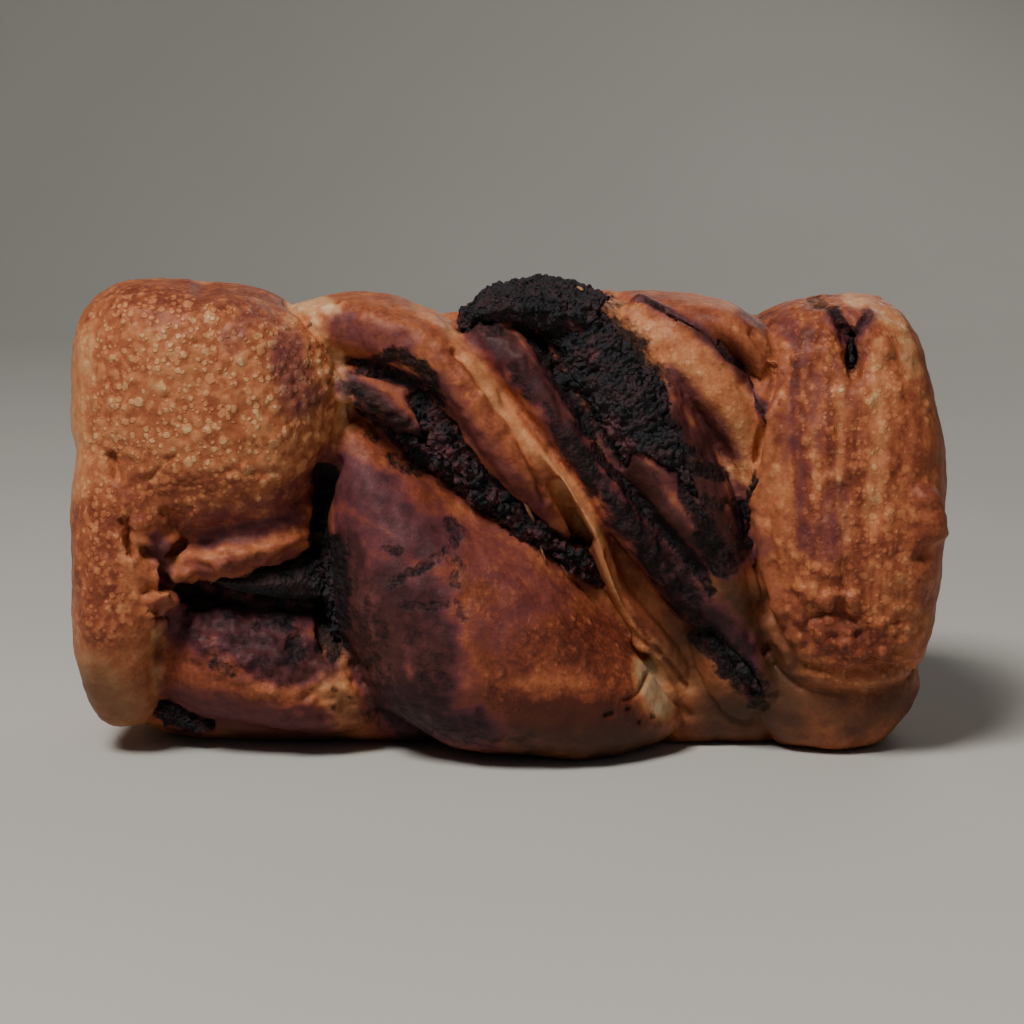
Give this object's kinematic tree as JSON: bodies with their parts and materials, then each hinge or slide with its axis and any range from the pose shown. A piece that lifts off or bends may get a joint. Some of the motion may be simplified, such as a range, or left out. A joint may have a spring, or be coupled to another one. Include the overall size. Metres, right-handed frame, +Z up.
{
  "type": "chocolate babka loaf",
  "caption": "Twisted sweet bread loaf with dark chocolate filling showing in its folds, lying on one long side with the browned crust to the front.",
  "frame": {"origin": "on the resting face, under the middle of the loaf's length and depth", "axes": "+X along the loaf's length, -Y out of the browned top crust that faces the viewer, +Y out of the flat tin base, +Z up from the tin side it lies on"},
  "size_m": [0.227, 0.1001, 0.1235],
  "materials": {
    "baked_dough": "satin browned crust, pale where the tin covered it",
    "baked_chocolate": "matt crumbly baked chocolate filling"
  },
  "bodies": {
    "root": {"dough": "baked_dough", "chocolate_fold": "baked_chocolate", "chocolate_slit": "baked_chocolate", "chocolate_crest": "baked_chocolate", "chocolate_seam": "baked_chocolate", "chocolate_tear": "baked_chocolate", "chocolate_foot": "baked_chocolate"}
  },
  "joints": []
}
